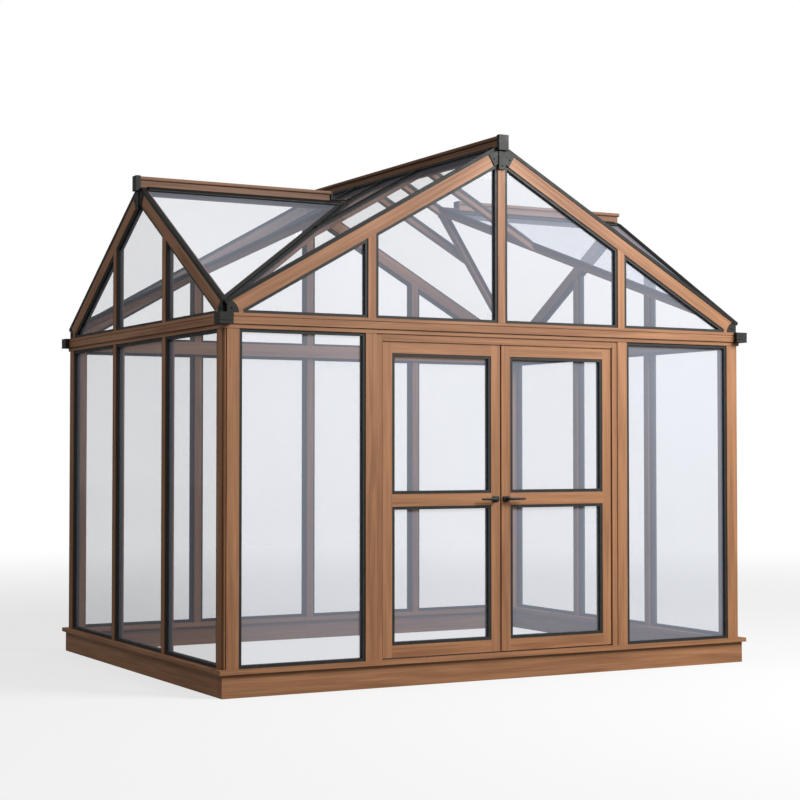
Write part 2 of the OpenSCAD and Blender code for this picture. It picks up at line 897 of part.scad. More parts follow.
module door_roses() {
  color(dark_metal)
    for (y = [leaf_front, leaf_back - rose_t])
      on_front(y)
        difference() {
          translate([lever_x - rose_w / 2, lock_z - rose_h / 2, 0])
            cube([rose_w, rose_h, rose_t]);
          translate([lever_x, lock_z, -1])
            cylinder(d = neck_d + 2 * fit, h = rose_t + 2);
        }
}
// Lever: one casting with a tapered bar on each side of the leaf, joined by the spindle.
module lever_bar() {
  tip_x = lever_l - lever_tip_h / 2;
  a = acos((lever_root_h - lever_tip_h) / 2 / tip_x);
  tangent = [cos(a), sin(a)];
  root = lever_root_h / 2 * tangent;
  tip = [tip_x, 0] + lever_tip_h / 2 * tangent;
  linear_extrude(lever_t) {
    circle(d = lever_root_h);
    translate([tip_x, 0])
      circle(d = lever_tip_h);
    polygon([[root.x, -root.y], [tip.x, -tip.y], tip, root]);
  }
}
module door_lever() {
  neck_gap = 1;
  color(dark_metal)
    translate([lever_x, 0, lock_z]) {
      on_front(leaf_back - lever_off)
        cylinder(d = spindle_d, h = leaf_t + 2 * lever_off);
      for (y = [leaf_front + neck_gap, leaf_back - lever_off - neck_gap])
        on_front(y)
          cylinder(d = neck_d, h = lever_off);
      for (y = [leaf_front + lever_off, leaf_back - lever_off - lever_t])
        on_front(y)
          lever_bar();
    }
}
// Butt hinges on the inner faces: the leaf carries the middle knuckle, the jamb the outer two and the pin.
hinge_clear = 2;
module knuckle(z, height) {
  translate([hinge_x, -hinge_y, z])
    cylinder(d = knuckle_d, h = height);
}
module hinge_flap(x0, x1, z0, z1) {
  block(x0, x1, -leaf_back, -leaf_back + hinge_t, z0, z1);
}
module door_hinges() {
  flap_x = hinge_x - knuckle_d / 2 - hinge_clear;
  color(dark_metal)
    for (z = hinge_zs)
      difference() {
        union() {
          knuckle(z - knuckle_h / 2 + knuckle_gap, knuckle_h - 2 * knuckle_gap);
          hinge_flap(flap_x, hinge_x, z - knuckle_h / 2 + knuckle_gap, z + knuckle_h / 2 - knuckle_gap);
          hinge_flap(flap_x - hinge_w, flap_x, z - 1.5 * knuckle_h, z + 1.5 * knuckle_h);
        }
        translate([hinge_x, -hinge_y, z - knuckle_h])
          cylinder(d = pin_d + 2 * fit, h = 2 * knuckle_h);
      }
}
module jamb_hinges() {
  flap_x = hinge_x + knuckle_d / 2 + hinge_clear;
  color(dark_metal)
    left_and_right()
      for (z = hinge_zs) {
        for (z0 = [z - 1.5 * knuckle_h, z + 0.5 * knuckle_h]) {
          knuckle(z0, knuckle_h);
          hinge_flap(hinge_x, flap_x, z0, z0 + knuckle_h);
        }
        hinge_flap(flap_x, flap_x + hinge_w, z - 1.5 * knuckle_h, z + 1.5 * knuckle_h);
        translate([hinge_x, -hinge_y, z - 1.5 * knuckle_h])
          cylinder(d = pin_d, h = 3 * knuckle_h);
      }
}
module right_door_stiles() {
  door_stiles();
}
module right_door_rails() {
  door_rails();
}
module right_door_glass() {
  door_glass();
}
module right_door_gaskets() {
  door_gaskets();
}
module right_door_hinges() {
  door_hinges();
}
module right_door_roses() {
  door_roses();
}
module right_door_lever() {
  door_lever();
}
module left_door_stiles() {
  mirror([1, 0, 0])
    door_stiles();
}
module left_door_rails() {
  mirror([1, 0, 0])
    door_rails();
}
module left_door_glass() {
  mirror([1, 0, 0])
    door_glass();
}
module left_door_gaskets() {
  mirror([1, 0, 0])
    door_gaskets();
}
module left_door_hinges() {
  mirror([1, 0, 0])
    door_hinges();
}
module left_door_roses() {
  mirror([1, 0, 0])
    door_roses();
}
module left_door_lever() {
  mirror([1, 0, 0])
    door_lever();
}

front_plinth();
back_plinth();
side_plinths();
front_sill();
back_sill();
side_sills();
corner_posts();
side_wall_mullions();
back_wall_mullions();
door_jambs();
door_head();
front_eave_beam();
back_eave_beam();
side_eave_beams();
eave_corner_blocks();
main_gable_rafters();
side_gable_rafters();
main_gable_mullions();
side_gable_mullions();
rafter_foot_brackets();
apex_brackets();
main_ridge_beam();
side_ridge_beams();
ridge_caps();
saddle_brackets();
valley_rafters();
jack_rafters();
front_wall_glass();
side_wall_glass();
back_wall_glass();
main_gable_glass();
side_gable_glass();
main_roof_glass();
cross_roof_glass();
wall_gaskets();
main_gable_gaskets();
side_gable_gaskets();
main_roof_gaskets();
cross_roof_gaskets();
left_door_stiles();
left_door_rails();
left_door_glass();
left_door_gaskets();
left_door_hinges();
left_door_roses();
left_door_lever();
right_door_stiles();
right_door_rails();
right_door_glass();
right_door_gaskets();
right_door_hinges();
right_door_roses();
right_door_lever();
jamb_hinges();
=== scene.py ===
import math

import bmesh
import bpy
import numpy as np
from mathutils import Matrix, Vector


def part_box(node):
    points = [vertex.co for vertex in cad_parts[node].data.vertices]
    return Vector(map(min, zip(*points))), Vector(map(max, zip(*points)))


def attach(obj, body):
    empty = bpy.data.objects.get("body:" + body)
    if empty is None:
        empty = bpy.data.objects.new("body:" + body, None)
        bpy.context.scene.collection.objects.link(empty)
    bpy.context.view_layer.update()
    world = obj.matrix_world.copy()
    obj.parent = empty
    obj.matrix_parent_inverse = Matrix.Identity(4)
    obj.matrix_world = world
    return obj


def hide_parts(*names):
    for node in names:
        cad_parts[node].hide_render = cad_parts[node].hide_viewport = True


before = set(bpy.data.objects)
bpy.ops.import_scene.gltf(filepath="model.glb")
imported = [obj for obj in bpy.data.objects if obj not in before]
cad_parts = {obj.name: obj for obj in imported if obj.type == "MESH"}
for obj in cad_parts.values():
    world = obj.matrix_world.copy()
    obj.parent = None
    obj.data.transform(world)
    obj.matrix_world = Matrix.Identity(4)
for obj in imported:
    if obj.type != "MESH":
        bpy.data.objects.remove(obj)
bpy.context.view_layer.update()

# Plinth and sills: planed softwood boards, stained a warm mid brown and sealed with a satin coat. The plinth
# lies on the ground and the sills are screwed down on it, butted at the corners. The stain shows the grain.
STAIN_PALE = (0.290, 0.138, 0.064, 1.0)
STAIN_DEEP = (0.150, 0.063, 0.0257, 1.0)
STAIN_SPAN = (0.34, 0.76)
SATIN_SPAN = (0.62, 0.46)
SATIN_SHEEN = 0.25
GRAIN_RELIEF = 0.0006
BAND_STRETCH = (1.1, 24.0, 24.0)
LINE_STRETCH = (2.6, 130.0, 130.0)
PORE_STRETCH = (11.0, 640.0, 640.0)
BAND_SHARE = 0.52
LINE_SHARE = 0.40
PORE_SHARE = 0.16
MEMBER_SHIFT = (7.3, 1.9, 4.1)
MEMBER_TONE = 0.05
NOISE_SPAN = (0.3, 0.7)


def shader_node(tree, kind, values=None, joins=None, **settings):
    """One shader node. values sets its own sockets, and joins links sockets of other nodes to them."""
    made = tree.nodes.new(kind)
    for key, value in settings.items():
        setattr(made, key, value)
    for key, value in (values or {}).items():
        made.inputs[key].default_value = value
    for key, socket in (joins or {}).items():
        tree.links.new(socket, made.inputs[key])
    return made


def ranged(tree, value, source, target, **settings):
    """A value carried from one range to another, and held at the ends."""
    ends = {"From Min": source[0], "From Max": source[1], "To Min": target[0], "To Max": target[1]}
    return shader_node(tree, "ShaderNodeMapRange", ends, {"Value": value}, **settings).outputs[0]


def mixed_colour(tree, share, first, second):
    """The first colour where the share is 0, and the second where it is 1."""
    return shader_node(tree, "ShaderNodeMix", {6: first, 7: second}, {0: share}, data_type="RGBA").outputs[2]


def new_group(name, inputs, outputs):
    """An empty shader group with these sockets, and its two end nodes."""
    tree = bpy.data.node_groups.new(name, "ShaderNodeTree")
    for in_out, sockets in (("INPUT", inputs), ("OUTPUT", outputs)):
        for socket, kind in sockets.items():
            tree.interface.new_socket(socket, in_out=in_out, socket_type="NodeSocket" + kind)
    return tree, tree.nodes.new("NodeGroupInput"), tree.nodes.new("NodeGroupOutput")


def streaks(tree, place, stretch, detail, distortion):
    """Noise drawn out along the grain: the coordinates times stretch, fine across and slow along."""
    drawn = shader_node(tree, "ShaderNodeVectorMath", {1: stretch}, {0: place}, operation="MULTIPLY")
    look = {"Scale": 1.0, "Detail": detail, "Distortion": distortion}
    return shader_node(tree, "ShaderNodeTexNoise", look, {"Vector": drawn.outputs[0]}).outputs["Fac"]


def timber_grain_group():
    """Stained softwood, grain along the first coordinate: bands, streaks and pores summed to one figure.

    Member is a number of its own for each timber. It shifts the pattern and the tone, so no two look alike.
    """
    tree, start, end = new_group(
        "timber_grain",
        {"Coordinates": "Vector", "Member": "Float"},
        {"Color": "Color", "Roughness": "Float", "Height": "Float"},
    )
    member = start.outputs["Member"]
    shift = shader_node(
        tree, "ShaderNodeVectorMath", {0: MEMBER_SHIFT}, {"Scale": member}, operation="SCALE"
    ).outputs[0]
    place = shader_node(
        tree, "ShaderNodeVectorMath", joins={0: start.outputs["Coordinates"], 1: shift}, operation="ADD"
    ).outputs[0]
    bands = streaks(tree, place, BAND_STRETCH, 3.0, 0.6)
    lines = streaks(tree, place, LINE_STRETCH, 4.0, 0.3)
    pores = streaks(tree, place, PORE_STRETCH, 2.0, 0.0)
    figure = shader_node(tree, "ShaderNodeMath", {1: BAND_SHARE}, {0: bands}, operation="MULTIPLY").outputs[0]
    for layer, share in ((lines, LINE_SHARE), (pores, PORE_SHARE)):
        figure = shader_node(
            tree, "ShaderNodeMath", {1: share}, {0: layer, 2: figure}, operation="MULTIPLY_ADD"
        ).outputs[0]
    tone = ranged(tree, member, (0, 1), (-MEMBER_TONE, MEMBER_TONE))
    toned = shader_node(tree, "ShaderNodeMath", joins={0: figure, 1: tone}, operation="ADD").outputs[0]
    stained = ranged(tree, toned, STAIN_SPAN, (0, 1), interpolation_type="SMOOTHSTEP")
    tree.links.new(mixed_colour(tree, stained, STAIN_DEEP, STAIN_PALE), end.inputs["Color"])
    tree.links.new(ranged(tree, figure, NOISE_SPAN, SATIN_SPAN), end.inputs["Roughness"])
    tree.links.new(figure, end.inputs["Height"])
    return tree


timber_grain = timber_grain_group()


def new_material(name):
    """An empty node material with a Principled BSDF, its tree and that node."""
    made = bpy.data.materials.new(name)
    made.use_nodes = True
    return made, made.node_tree, made.node_tree.nodes["Principled BSDF"]


def timber(name, along, cell, fold=(False, False), crossing=None, painted_shade=1.0):
    """Stained timber with its grain along a direction. Members are told apart by their cells of space.

    fold takes x or y without its sign, for members that are mirrored about the middle of the plan. Beyond
    crossing, an offset along x, the grain runs across instead. A shade factor under 1 scales the colour
    darker: painted shade.
    """
    made, tree, surface = new_material(name)
    place = shader_node(tree, "ShaderNodeTexCoord").outputs["Object"]
    centred = shader_node(
        tree, "ShaderNodeVectorMath", {1: tuple(c / 2 for c in cell)}, {0: place}, operation="ADD"
    ).outputs[0]
    snapped = shader_node(tree, "ShaderNodeVectorMath", {1: cell}, {0: centred}, operation="SNAP").outputs[0]
    member = shader_node(tree, "ShaderNodeTexWhiteNoise", joins={"Vector": snapped}).outputs["Value"]
    if any(fold):
        whole = shader_node(tree, "ShaderNodeSeparateXYZ", joins={0: place}).outputs
        signless = shader_node(tree, "ShaderNodeVectorMath", joins={0: place}, operation="ABSOLUTE")
        folded = shader_node(tree, "ShaderNodeSeparateXYZ", joins={0: signless.outputs[0]}).outputs
        chosen = {i: folded[i] if fold[i] else whole[i] for i in (0, 1)}
        place = shader_node(tree, "ShaderNodeCombineXYZ", joins={**chosen, 2: whole[2]}).outputs[0]
    if crossing:
        parts = shader_node(tree, "ShaderNodeSeparateXYZ", joins={0: place}).outputs
        offset = shader_node(tree, "ShaderNodeMath", joins={0: parts[0]}, operation="ABSOLUTE").outputs[0]
        beyond = shader_node(
            tree, "ShaderNodeMath", {1: crossing}, {0: offset}, operation="GREATER_THAN"
        ).outputs[0]
        swapped = shader_node(
            tree, "ShaderNodeCombineXYZ", joins={0: parts[1], 1: parts[0], 2: parts[2]}
        ).outputs[0]
        place = shader_node(
            tree, "ShaderNodeMix", joins={0: beyond, 4: place, 5: swapped}, data_type="VECTOR"
        ).outputs[1]
    turn = Vector(along).rotation_difference(Vector((1, 0, 0))).to_euler()
    turned = shader_node(tree, "ShaderNodeMapping", {"Rotation": turn}, {"Vector": place}).outputs[0]
    grain = shader_node(tree, "ShaderNodeGroup", node_tree=timber_grain)
    tree.links.new(turned, grain.inputs["Coordinates"])
    tree.links.new(member, grain.inputs["Member"])
    depth = {"Strength": 0.35, "Distance": GRAIN_RELIEF}
    relief = shader_node(tree, "ShaderNodeBump", depth, {"Height": grain.outputs["Height"]})
    # Painted shade: the grain colour is scaled darker here wherever the shade factor is under 1.
    stain_and_painted_shade = shader_node(
        tree, "ShaderNodeVectorMath", {"Scale": painted_shade}, {0: grain.outputs["Color"]}, operation="SCALE"
    ).outputs[0]
    tree.links.new(stain_and_painted_shade, surface.inputs["Base Color"])
    tree.links.new(grain.outputs["Roughness"], surface.inputs["Roughness"])
    tree.links.new(relief.outputs[0], surface.inputs["Normal"])
    surface.inputs["Specular IOR Level"].default_value = SATIN_SHEEN
    return made


def dress(material, *names):
    """These CAD nodes wear this material."""
    for name in names:
        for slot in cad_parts[name].material_slots:
            slot.material = material


WHOLE = 20.0
BOARD_CELL = 0.6
timber_across = timber("timber_across", (1, 0, 0), (WHOLE, BOARD_CELL, WHOLE))
timber_back = timber("timber_back", (0, 1, 0), (BOARD_CELL, WHOLE, WHOLE))
dress(timber_across, "front_plinth", "back_plinth", "front_sill", "back_sill")
dress(timber_back, "side_plinths", "side_sills")

# Posts, mullions and jambs: upright timbers of the same stain, tenoned into the sills and the eave beams. The
# corner posts have a notch down the outer edge, and the jambs a step that the doors close into.
UPRIGHT_CELL = 0.52
timber_upright = timber("timber_upright", (0, 0, 1), (UPRIGHT_CELL, BOARD_CELL, WHOLE))
dress(timber_upright, "corner_posts", "side_wall_mullions", "back_wall_mullions", "door_jambs")

# Eave beams and door head: stained boards. The beams have two grooves moulded along the face and are mitred
# behind the corner blocks, and the head is fixed up under the front beam, between the jambs.
dress(timber_across, "front_eave_beam", "back_eave_beam", "door_head")
dress(timber_back, "side_eave_beams")

# Corner blocks and foot brackets: metal castings under a charcoal powder coat. The blocks cover the mitres of
# the eave beams, and the brackets hold the rafter feet with a button-head screw in each lobe.
COAT_DARK = (0.010, 0.010, 0.009, 1.0)
COAT_PALE = (0.020, 0.020, 0.018, 1.0)
COAT_SPAN = (0.38, 0.55)
COAT_SHEEN = 0.14


def cloudy(tree, place, scale, detail):
    """Soft noise of a scale and a detail."""
    look = {"Scale": scale, "Detail": detail}
    return shader_node(tree, "ShaderNodeTexNoise", look, {"Vector": place}).outputs["Fac"]


def powder_coat_group():
    """Powder coat: a fine pebbled skin, with soft changes of tone where hands and rain have dulled it."""
    tree, start, end = new_group(
        "powder_coat", {"Coordinates": "Vector"}, {"Tone": "Float", "Roughness": "Float", "Height": "Float"}
    )
    place = start.outputs["Coordinates"]
    tone = cloudy(tree, place, 14.0, 4.0)
    tree.links.new(tone, end.inputs["Tone"])
    tree.links.new(ranged(tree, tone, NOISE_SPAN, COAT_SPAN), end.inputs["Roughness"])
    tree.links.new(cloudy(tree, place, 900.0, 2.0), end.inputs["Height"])
    return tree


powder_coat = powder_coat_group()


def coated_metal(name, dark, pale, relief_depth):
    """Metal under powder coat, between two tones."""
    made, tree, surface = new_material(name)
    place = shader_node(tree, "ShaderNodeTexCoord").outputs["Object"]
    coat = shader_node(tree, "ShaderNodeGroup", node_tree=powder_coat)
    tree.links.new(place, coat.inputs["Coordinates"])
    depth = {"Strength": 0.3, "Distance": relief_depth}
    relief = shader_node(tree, "ShaderNodeBump", depth, {"Height": coat.outputs["Height"]})
    tree.links.new(mixed_colour(tree, coat.outputs["Tone"], dark, pale), surface.inputs["Base Color"])
    tree.links.new(coat.outputs["Roughness"], surface.inputs["Roughness"])
    tree.links.new(relief.outputs[0], surface.inputs["Normal"])
    surface.inputs["Specular IOR Level"].default_value = COAT_SHEEN
    return made


charcoal_coat = coated_metal("charcoal_coat", COAT_DARK, COAT_PALE, 0.0002)
dress(charcoal_coat, "eave_corner_blocks", "rafter_foot_brackets")


def new_piece(name, points, material, body):
    """One mesh from points[copy, row, column]: rings joined row to row, and merged where they shrink."""
    copies, rows, cols = points.shape[:3]
    row, col = np.meshgrid(np.arange(rows - 1), np.arange(cols), indexing="ij")
    here, after = row * cols, (col + 1) % cols
    ring = np.stack([here + col, here + after, here + cols + after, here + cols + col], -1)
    faces = (ring.reshape(1, -1, 4) + np.arange(copies)[:, None, None] * rows * cols).reshape(-1, 4)
    mesh = bpy.data.meshes.new(name)
    mesh.from_pydata(points.reshape(-1, 3).tolist(), [], faces.tolist())
    shell = bmesh.new()
    shell.from_mesh(mesh)
    bmesh.ops.remove_doubles(shell, verts=shell.verts, dist=1e-6)
    bmesh.ops.recalc_face_normals(shell, faces=shell.faces)
    shell.to_mesh(mesh)
    shell.free()
    mesh.shade_smooth()
    mesh.set_sharp_from_angle(angle=math.radians(35))
    mesh.materials.append(material)
    made = bpy.data.objects.new(name, mesh)
    bpy.context.scene.collection.objects.link(made)
    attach(made, body)
    return made


SCREW_PROFILE = np.array([
    [0.0, 0.2], [0.36, 0.2], [0.40, 0.44], [0.62, 0.48], [0.86, 0.36], [1.0, 0.12], [1.0, 0.0], [0.0, 0.0],
])


def button_screws(name, heads, facing, radius, body):
    """Button-head screws with a socket: one profile turned about an axis at each head, facing outwards."""
    heads = np.asarray(heads, float)
    axis = np.broadcast_to(np.asarray(facing, float), heads.shape)
    across = np.cross(axis, (0.3, 0.5, 0.8))
    across /= np.linalg.norm(across, axis=1, keepdims=True)
    along = np.cross(axis, across)
    turn = np.linspace(0, 2 * math.pi, 16, endpoint=False)[None, None, :, None]
    spoke = np.cos(turn) * across[:, None, None] + np.sin(turn) * along[:, None, None]
    reach = radius * SCREW_PROFILE[None, :, :1, None]
    rise = radius * SCREW_PROFILE[None, :, 1:, None]
    points = heads[:, None, None] + reach * spoke + rise * axis[:, None, None]
    return new_piece(name, points, charcoal_coat, body)


FOOT_SCREW = 0.007
LOBE_SCREW_IN = 0.050
LOBE_SCREW_UP = 0.026
post_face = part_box("corner_posts")[1]
lobe_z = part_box("eave_corner_blocks")[1].z + LOBE_SCREW_UP
signs = np.array([(sx, sy) for sx in (-1, 1) for sy in (-1, 1)])
front_lobes = np.column_stack([signs * (post_face.x - LOBE_SCREW_IN, post_face.y), np.full(4, lobe_z)])
side_lobes = np.column_stack([signs * (post_face.x, post_face.y - LOBE_SCREW_IN), np.full(4, lobe_z)])
button_screws(
    "foot_bracket_screws", np.concatenate([front_lobes, side_lobes]),
    np.concatenate([signs[:, 1:] * (0, 1, 0), signs[:, :1] * (1, 0, 0)]), FOOT_SCREW, "frame",
)

# Gable frames: rafters seated level on the eave beams, scribed round the foot brackets and cut plumb at the
# ridge beam, with mullions notched under them. The same stained timber, screwed together behind the brackets.
MAIN_SLOPE_CELL = (3.7, BOARD_CELL, WHOLE)
SIDE_SLOPE_CELL = (UPRIGHT_CELL, 3.1, WHOLE)


def slope_of(node):
    """Pitch of a sloping node: the angle between its largest face and the ground."""
    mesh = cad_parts[node].data
    areas = np.empty(len(mesh.polygons), np.float32)
    normals = np.empty(3 * len(mesh.polygons), np.float32)
    mesh.polygons.foreach_get("area", areas)
    mesh.polygons.foreach_get("normal", normals)
    return math.acos(abs(normals.reshape(-1, 3)[areas.argmax(), 2]))


main_pitch = slope_of("main_roof_glass")
side_pitch = slope_of("cross_roof_glass")
main_rafter_run = (-math.cos(main_pitch), 0, math.sin(main_pitch))
side_rafter_run = (0, -math.cos(side_pitch), math.sin(side_pitch))
timber_main_slope = timber("timber_main_slope", main_rafter_run, MAIN_SLOPE_CELL, (True, False))
timber_side_slope = timber("timber_side_slope", side_rafter_run, SIDE_SLOPE_CELL, (False, True))
dress(timber_main_slope, "main_gable_rafters")
dress(timber_side_slope, "side_gable_rafters")
dress(timber_upright, "main_gable_mullions", "side_gable_mullions")

# Apex brackets: charcoal plates with two wings and a strap, screwed over the rafter tops. A block on the
# plate closes the end of the ridge, on all but the right.
APEX_SCREW = 0.006
PLATE = 0.006
RAFTER_DEPTH = 0.074
HALF_RIDGE = 0.022
WING_SCREWS = np.array([0.050, 0.082])
STRAP_SCREW_DOWN = 0.112
dress(charcoal_coat, "apex_brackets")
main_ridge_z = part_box("main_gable_rafters")[1].z + HALF_RIDGE * math.tan(main_pitch)
side_ridge_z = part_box("side_gable_rafters")[1].z + HALF_RIDGE * math.tan(side_pitch)


def apex_screw_places(pitch, ridge_z):
    """Each screw's offset, height and number of plates under it, for one bracket.

    Two lie on each wing, at mid depth along the rafter, and one on the strap, which lies on the wings.
    """
    wing = WING_SCREWS * math.cos(pitch) - RAFTER_DEPTH / 2 * math.sin(pitch)
    drop = WING_SCREWS * math.sin(pitch) + RAFTER_DEPTH / 2 * math.cos(pitch)
    offsets = np.concatenate([wing, -wing, [0.0]])
    heights = ridge_z - np.concatenate([drop, drop, [STRAP_SCREW_DOWN]])
    return offsets, heights, np.array([1, 1, 1, 1, 2])


offset, height, plates = apex_screw_places(main_pitch, main_ridge_z)
for sy, where in ((-1, "front"), (1, "back")):
    heads = np.column_stack([offset, sy * (post_face.y + plates * PLATE), height])
    button_screws(f"{where}_apex_screws", heads, (0, sy, 0), APEX_SCREW, "frame")
offset, height, plates = apex_screw_places(side_pitch, side_ridge_z)
for sx, where in ((-1, "left"), (1, "right")):
    heads = np.column_stack([sx * (post_face.x + plates * PLATE), offset, height])
    button_screws(f"{where}_apex_screws", heads, (sx, 0, 0), APEX_SCREW, "frame")

# Ridges: beams along the tops of the slopes, each with a rounded cap screwed down on it. Beams and caps wear
# the stained timber with painted shade: its colour is scaled darker for the shade along the ridges.
# Charcoal angles close the low ends of the cross ridges.
PAST_MAIN_CAP = 0.05
# Painted shade: the ridge beams' and caps' timber colour is scaled by this factor.
RIDGE_PAINTED_SHADE = 0.55
ridge_back = timber("timber_ridge_back", (0, 1, 0), (BOARD_CELL, WHOLE, WHOLE), painted_shade=RIDGE_PAINTED_SHADE)
dress(ridge_back, "main_ridge_beam")
ridge_across = timber("timber_ridge_across", (1, 0, 0), (WHOLE, BOARD_CELL, WHOLE), painted_shade=RIDGE_PAINTED_SHADE)
dress(ridge_across, "side_ridge_beams")
timber_caps = timber(
    "timber_caps", (0, 1, 0), (WHOLE, WHOLE, WHOLE), crossing=PAST_MAIN_CAP, painted_shade=RIDGE_PAINTED_SHADE
)
dress(timber_caps, "ridge_caps")
dress(charcoal_coat, "saddle_brackets")

# Roof timbers: slim valley rafters, V-cut along the top to both slopes, and jack rafters bevel-cut against
# them. The same stained timber, screwed from behind.
VALLEY_CELL = (3.7, 2.9, WHOLE)
low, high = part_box("valley_rafters")
valley_run = (-(high.x - low.x) / 2, -high.y, high.z - low.z)
timber_valley = timber("timber_valley", valley_run, VALLEY_CELL, (True, True))
dress(timber_valley, "valley_rafters")
dress(timber_main_slope, "jack_rafters")

# Glass: 6 mm float panes, clear with a faint blue-grey cast and a thin film of haze. The gables and the roof
# have less of it, where the rain washes them.
FILM_COLOUR = (0.47, 0.51, 0.61, 1.0)
FILM_SHADE = 0.50
FILM_CLOUDS = (0.94, 1.06)
GLASS_POLISH = 0.06


def glass_pane(name, facing, grazing):
    """Clear glass with a hazy film on the outer skin, which thickens towards grazing views.

    The light that passes into the house loses more to it than the view does.
    """
    made, tree, surface = new_material(name)
    place = shader_node(tree, "ShaderNodeTexCoord").outputs["Object"]
    clouds = ranged(tree, cloudy(tree, place, 1.3, 3.0), NOISE_SPAN, FILM_CLOUDS)
    edge = shader_node(tree, "ShaderNodeLayerWeight", {"Blend": 0.22}).outputs["Fresnel"]
    film = ranged(tree, edge, (0, 1), (facing, grazing))
    film = shader_node(tree, "ShaderNodeMath", joins={0: film, 1: clouds}, operation="MULTIPLY").outputs[0]
    inner = shader_node(tree, "ShaderNodeNewGeometry").outputs["Backfacing"]
    outer = shader_node(tree, "ShaderNodeMath", {0: 1.0}, {1: inner}, operation="SUBTRACT").outputs[0]
    viewed = shader_node(tree, "ShaderNodeLightPath").outputs["Is Camera Ray"]
    film = shader_node(
        tree, "ShaderNodeMix", {2: FILM_SHADE}, {0: viewed, 3: film}, data_type="FLOAT"
    ).outputs[0]
    alpha = shader_node(tree, "ShaderNodeMath", joins={0: film, 1: outer}, operation="MULTIPLY").outputs[0]
    surface.inputs["Base Color"].default_value = FILM_COLOUR
    surface.inputs["Roughness"].default_value = GLASS_POLISH
    tree.links.new(alpha, surface.inputs["Alpha"])
    return made


wall_glass = glass_pane("wall_glass", 0.235, 0.45)
rain_washed_glass = glass_pane("rain_washed_glass", 0.20, 0.24)
dress(wall_glass, "front_wall_glass", "side_wall_glass", "back_wall_glass")
dress(wall_glass, "left_door_glass", "right_door_glass")
dress(rain_washed_glass, "main_gable_glass", "side_gable_glass", "main_roof_glass", "cross_roof_glass")

# Gaskets: extruded black rubber with a groove for the pane, mitred at the corners and pressed into the
# frames. The rubber has a slight bloom and a faint sheen.
RUBBER_DARK = (0.011, 0.011, 0.010, 1.0)
RUBBER_PALE = (0.021, 0.021, 0.020, 1.0)
RUBBER_SPAN = (0.42, 0.6)
RUBBER_SHEEN = 0.2


def extruded_rubber():
    """Black rubber between two tones, as it blooms."""
    made, tree, surface = new_material("extruded_rubber")
    place = shader_node(tree, "ShaderNodeTexCoord").outputs["Object"]
    bloom = cloudy(tree, place, 22.0, 5.0)
    tree.links.new(mixed_colour(tree, bloom, RUBBER_DARK, RUBBER_PALE), surface.inputs["Base Color"])
    tree.links.new(ranged(tree, bloom, NOISE_SPAN, RUBBER_SPAN), surface.inputs["Roughness"])
    surface.inputs["Specular IOR Level"].default_value = RUBBER_SHEEN
    return made


black_rubber = extruded_rubber()
dress(black_rubber, "wall_gaskets", "main_gable_gaskets", "side_gable_gaskets")
dress(black_rubber, "main_roof_gaskets", "cross_roof_gaskets", "left_door_gaskets", "right_door_gaskets")

# Roof trims: charcoal bars over the seams between the roof panes, angles down the verges, strips along the
# ridges and a folded strip in each valley. Thin coated aluminium, bedded on the gaskets and held by screws.
TRIM_DARK = (0.004, 0.004, 0.0037, 1.0)
TRIM_PALE = (0.010, 0.010, 0.009, 1.0)
GASKET_TOP = 0.0183
trim_coat = coated_metal("trim_coat", TRIM_DARK, TRIM_PALE, 0.0001)


def straight_bars(name, starts, ends, rings, material=trim_coat):
    """Bars with a closed ring of section points, carried along lines. The ends close on the ring's middle."""
    starts, ends = np.asarray(starts, float)[:, None], np.asarray(ends, float)[:, None]
    middle = rings.mean(axis=1, keepdims=True) + 0 * rings
    rows = np.stack([starts + middle, starts + rings, ends + rings, ends + middle], axis=1)
    return new_piece(name, rows, material, "frame")


def section_rings(section, across, up):
    """A section of (across, up) points, set out on each bar's own two directions."""
    return section[None, :, :1] * across[:, None] + section[None, :, 1:] * up[:, None]


def main_slope(x, y):
    """Points on the main slopes: the ridge height less the run times the slope, raised along the normal."""
    x, y = np.broadcast_arrays(np.asarray(x, float), np.asarray(y, float))
    place = np.stack([x, y, main_ridge_z - np.abs(x) * math.tan(main_pitch)], -1)
    normal = np.stack([np.sign(x) * math.sin(main_pitch), 0 * x, 0 * x + math.cos(main_pitch)], -1)
    return place + GASKET_TOP * normal, normal


def side_slope(x, y):
    """The same for the slopes of the cross gables."""
    x, y = np.broadcast_arrays(np.asarray(x, float), np.asarray(y, float))
    place = np.stack([x, y, side_ridge_z - np.abs(y) * math.tan(side_pitch)], -1)
    normal = np.stack([0 * x, np.sign(y) * math.sin(side_pitch), 0 * x + math.cos(side_pitch)], -1)
    return place + GASKET_TOP * normal, normal


RIDGE_EDGE = 0.026
RIDGE_LAP = 0.040
JACK_HALF = 0.025
SEAM_TALL = 0.010
SEAM_BAR = np.array([
    [-0.018, 0], [0.018, 0], [0.018, 0.004], [0.013, SEAM_TALL], [-0.013, SEAM_TALL], [-0.018, 0.004],
])
SHORT_OF_VALLEY = 0.030
SHORT_OF_SADDLE = 0.012
SEAM_SCREW = 0.0045
SEAM_SCREW_WAYS = np.array([0.15, 0.85])[:, None, None]
saddle = (main_ridge_z - side_ridge_z) / math.tan(main_pitch)
jack_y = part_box("jack_rafters")[1].y - JACK_HALF
valley_at_jack = saddle + (post_face.x - saddle) * jack_y / post_face.y
outer_foot = valley_at_jack - SHORT_OF_VALLEY
seam_y = np.array([-jack_y, 0, jack_y] * 2)
seam_side = np.repeat([-1, 1], 3)
seam_foot = np.array([outer_foot, saddle - SHORT_OF_SADDLE, outer_foot] * 2)
starts, up = main_slope(seam_side * (RIDGE_EDGE + RIDGE_LAP), seam_y)
ends = main_slope(seam_side * seam_foot, seam_y)[0]
straight_bars("seam_bars", starts, ends, section_rings(SEAM_BAR, up * 0 + (0, 1, 0), up))
heads = starts + SEAM_SCREW_WAYS * (ends - starts) + SEAM_TALL * up
button_screws("seam_screws", heads.reshape(-1, 3), np.tile(up, (2, 1)), SEAM_SCREW, "frame")

